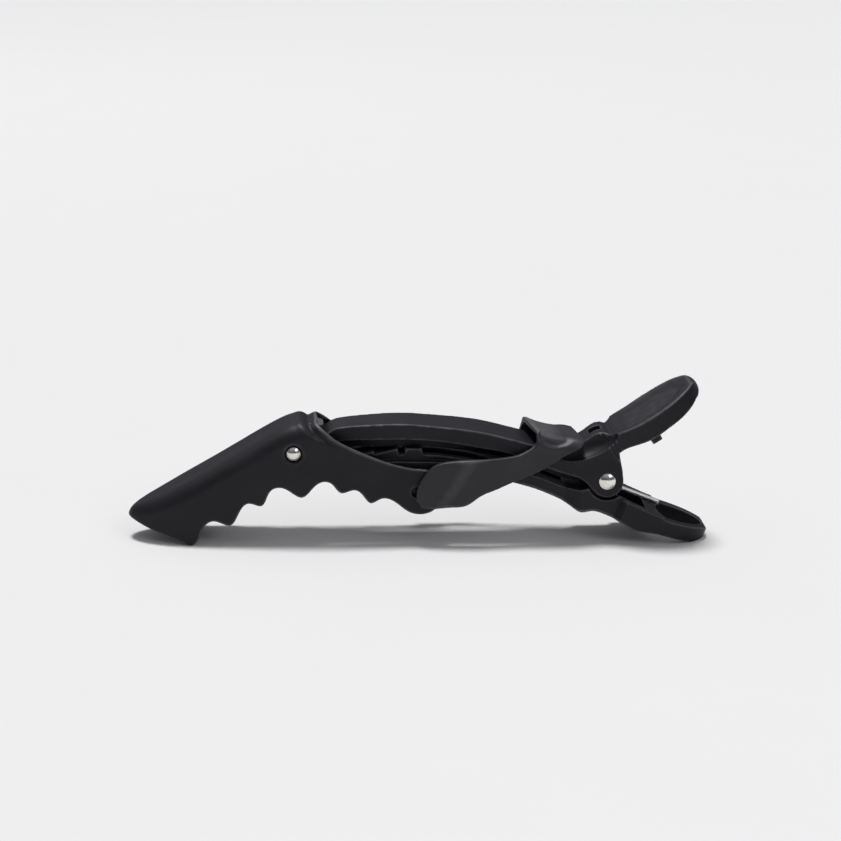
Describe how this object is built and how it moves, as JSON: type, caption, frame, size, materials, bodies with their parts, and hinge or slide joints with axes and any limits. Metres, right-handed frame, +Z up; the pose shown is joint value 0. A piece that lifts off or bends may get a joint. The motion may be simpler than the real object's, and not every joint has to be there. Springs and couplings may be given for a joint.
{
  "type": "sectioning clip",
  "caption": "Double-hinged hair sectioning clip with a toothed hood jaw, sprung thumb plate, finger loop and elastic strap.",
  "frame": {"origin": "on the surface the clip stands on, below the middle of its length and width", "axes": "+X towards the finger grips, +Y across the clip along both hinge pins, +Z up"},
  "size_m": [0.1146, 0.0158, 0.0318],
  "materials": {
    "black_plastic": "satin moulded",
    "plated_pin": "polished nickel plate",
    "spring_wire": "bright drawn wire",
    "black_rubber": "smooth moulded elastomer"
  },
  "bodies": {
    "jaw": {"lower_jaw": "black_plastic", "torsion_spring": "spring_wire"},
    "arm": {"upper_arm": "black_plastic", "rear_pin": "plated_pin", "elastic_strap": "black_rubber"},
    "hood": {"front_jaw": "black_plastic", "front_pin": "plated_pin"}
  },
  "joints": [
    {"name": "rear_hinge", "type": "hinge", "parent": "jaw", "child": "arm", "pos_m": [0.0371, 0, 0.0127], "axis": [0, 1, 0], "range_deg": [0, 40], "stiffness_Nm_per_rad": 0.15, "springref_deg": -45.84, "deforming": ["torsion_spring"]},
    {"name": "front_hinge", "type": "hinge", "parent": "arm", "child": "hood", "pos_m": [-0.0247, 0, 0.0186], "axis": [0, 1, 0], "range_deg": [0, 7], "stiffness_Nm_per_rad": 0.04, "springref_deg": -20.05, "deforming": ["elastic_strap"]}
  ]
}
